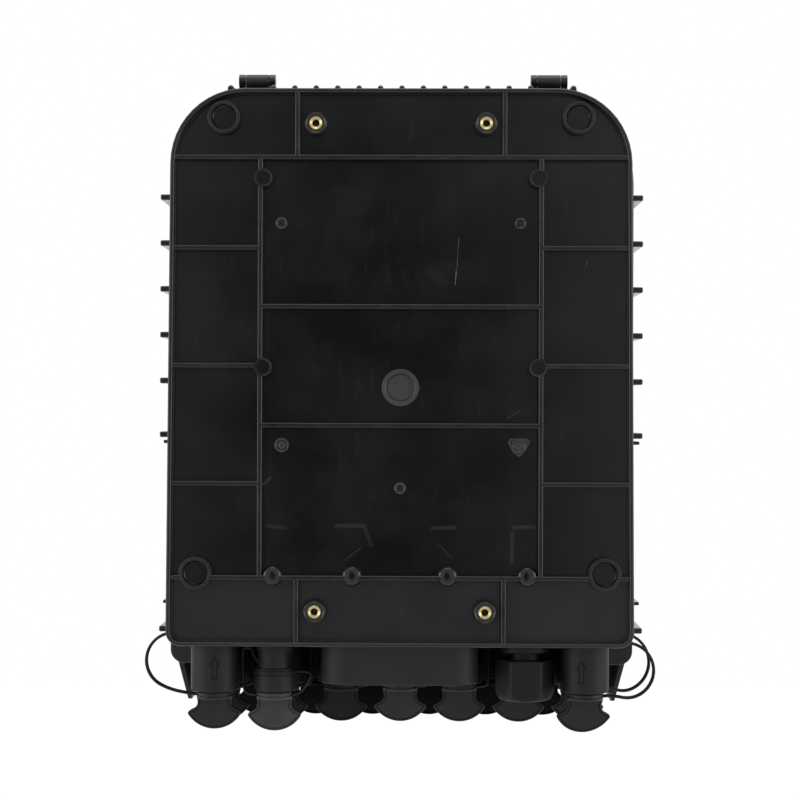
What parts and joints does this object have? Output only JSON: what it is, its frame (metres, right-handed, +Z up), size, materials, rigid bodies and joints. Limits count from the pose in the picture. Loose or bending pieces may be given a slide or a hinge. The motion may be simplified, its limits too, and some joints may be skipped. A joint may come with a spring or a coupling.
{
  "type": "fibre termination box",
  "caption": "Black moulded outdoor fibre termination box with ribbed rear, top-hinged cover, side latches, cable gland, oval entry and capped plug-in ports.",
  "frame": {"origin": "centre of the four rear inserts, on the plane of the rear rim", "axes": "+X to the right seen from behind, +Y from the rear rim to the cover, +Z up along the height"},
  "size_m": [0.2611, 0.1166, 0.3473],
  "materials": {
    "case_plastic": "fine texture",
    "cover_plastic": "fine texture",
    "gland_plastic": "satin",
    "seal_rubber": "matte",
    "strap_rubber": "matte",
    "cap_black": "satin",
    "cap_olive": "satin",
    "insert_brass": "machined",
    "steel": "plain",
    "adapter_plastic": "moulded",
    "tray_plastic": "moulded",
    "splitter_plastic": "moulded"
  },
  "bodies": {
    "base": {"base_shell": "case_plastic", "cover_gasket": "seal_rubber", "rear_inserts": "insert_brass", "oval_port_seal": "seal_rubber", "gland_body": "gland_plastic", "gland_seal": "seal_rubber", "gland_locknut": "gland_plastic", "input_adapter": "gland_plastic", "sc_adapters_row_1": "adapter_plastic", "sc_adapters_row_2": "adapter_plastic", "sc_adapters_row_3": "adapter_plastic", "splice_tray": "tray_plastic", "tray_screws": "steel", "splitter_module": "splitter_plastic", "strength_clamp": "steel", "clamp_screw": "steel", "cap_tether_01": "strap_rubber", "cap_tether_02": "strap_rubber", "cap_tether_03": "strap_rubber", "cap_tether_04": "strap_rubber", "cap_tether_05": "strap_rubber", "cap_tether_06": "strap_rubber", "cap_tether_07": "strap_rubber", "cap_tether_08": "strap_rubber", "cap_tether_09": "strap_rubber", "cap_tether_10": "strap_rubber", "cap_tether_11": "strap_rubber", "cap_tether_12": "strap_rubber", "cap_tether_13": "strap_rubber", "cap_tether_14": "strap_rubber", "cap_tether_15": "strap_rubber", "cap_tether_16": "strap_rubber", "hinge_pins": "steel"},
    "cover": {"front_cover": "cover_plastic", "latch_pins": "steel"},
    "latch_left": {"latch_left": "cover_plastic"},
    "latch_right": {"latch_right": "cover_plastic"},
    "gland_nut": {"gland_nut": "gland_plastic"},
    "cap_01": {"dust_cap_01": "cap_black"},
    "cap_02": {"dust_cap_02": "cap_olive"},
    "cap_03": {"dust_cap_03": "cap_black"},
    "cap_04": {"dust_cap_04": "cap_black"},
    "cap_05": {"dust_cap_05": "cap_black"},
    "cap_06": {"dust_cap_06": "cap_black"},
    "cap_07": {"dust_cap_07": "cap_olive"},
    "cap_08": {"dust_cap_08": "cap_olive"},
    "cap_09": {"dust_cap_09": "cap_black"},
    "cap_10": {"dust_cap_10": "cap_black"},
    "cap_11": {"dust_cap_11": "cap_black"},
    "cap_12": {"dust_cap_12": "cap_black"},
    "cap_13": {"dust_cap_13": "cap_black"},
    "cap_14": {"dust_cap_14": "cap_black"},
    "cap_15": {"dust_cap_15": "cap_black"},
    "cap_16": {"dust_cap_16": "cap_black"}
  },
  "joints": [
    {"name": "cover_hinge", "type": "hinge", "parent": "base", "child": "cover", "pos_m": [0, 0.088, 0.1587], "axis": [1, 0, 0], "range_deg": [0, 120]},
    {"name": "latch_left_hinge", "type": "hinge", "parent": "cover", "child": "latch_left", "pos_m": [-0.1255, 0.105, -0.081], "axis": [0, 0, -1], "range_deg": [0, 90]},
    {"name": "latch_right_hinge", "type": "hinge", "parent": "cover", "child": "latch_right", "pos_m": [0.1255, 0.105, -0.081], "axis": [0, 0, 1], "range_deg": [0, 90]},
    {"name": "gland_nut_turn", "type": "hinge", "parent": "base", "child": "gland_nut", "pos_m": [0.0637, 0.018, -0.158], "axis": [0, 0, 1], "continuous": true},
    {"name": "cap_pull_01", "type": "slide", "parent": "base", "child": "cap_01", "axis": [0, 0, -1], "range_m": [0, 0.014], "deforming": ["cap_tether_01"]},
    {"name": "cap_pull_02", "type": "slide", "parent": "base", "child": "cap_02", "axis": [0, 0, -1], "range_m": [0, 0.014], "deforming": ["cap_tether_02"]},
    {"name": "cap_pull_03", "type": "slide", "parent": "base", "child": "cap_03", "axis": [0, 0, -1], "range_m": [0, 0.014], "deforming": ["cap_tether_03"]},
    {"name": "cap_pull_04", "type": "slide", "parent": "base", "child": "cap_04", "axis": [0, 0, -1], "range_m": [0, 0.014], "deforming": ["cap_tether_04"]},
    {"name": "cap_pull_05", "type": "slide", "parent": "base", "child": "cap_05", "axis": [0, 0, -1], "range_m": [0, 0.014], "deforming": ["cap_tether_05"]},
    {"name": "cap_pull_06", "type": "slide", "parent": "base", "child": "cap_06", "axis": [0, 0, -1], "range_m": [0, 0.014], "deforming": ["cap_tether_06"]},
    {"name": "cap_pull_07", "type": "slide", "parent": "base", "child": "cap_07", "axis": [0, 0, -1], "range_m": [0, 0.014], "deforming": ["cap_tether_07"]},
    {"name": "cap_pull_08", "type": "slide", "parent": "base", "child": "cap_08", "axis": [0, 0, -1], "range_m": [0, 0.014], "deforming": ["cap_tether_08"]},
    {"name": "cap_pull_09", "type": "slide", "parent": "base", "child": "cap_09", "axis": [0, 0, -1], "range_m": [0, 0.014], "deforming": ["cap_tether_09"]},
    {"name": "cap_pull_10", "type": "slide", "parent": "base", "child": "cap_10", "axis": [0, 0, -1], "range_m": [0, 0.014], "deforming": ["cap_tether_10"]},
    {"name": "cap_pull_11", "type": "slide", "parent": "base", "child": "cap_11", "axis": [0, 0, -1], "range_m": [0, 0.014], "deforming": ["cap_tether_11"]},
    {"name": "cap_pull_12", "type": "slide", "parent": "base", "child": "cap_12", "axis": [0, 0, -1], "range_m": [0, 0.014], "deforming": ["cap_tether_12"]},
    {"name": "cap_pull_13", "type": "slide", "parent": "base", "child": "cap_13", "axis": [0, 0, -1], "range_m": [0, 0.014], "deforming": ["cap_tether_13"]},
    {"name": "cap_pull_14", "type": "slide", "parent": "base", "child": "cap_14", "axis": [0, 0, -1], "range_m": [0, 0.014], "deforming": ["cap_tether_14"]},
    {"name": "cap_pull_15", "type": "slide", "parent": "base", "child": "cap_15", "axis": [0, 0, -1], "range_m": [0, 0.014], "deforming": ["cap_tether_15"]},
    {"name": "cap_pull_16", "type": "slide", "parent": "base", "child": "cap_16", "axis": [0, 0, -1], "range_m": [0, 0.014], "deforming": ["cap_tether_16"]}
  ]
}
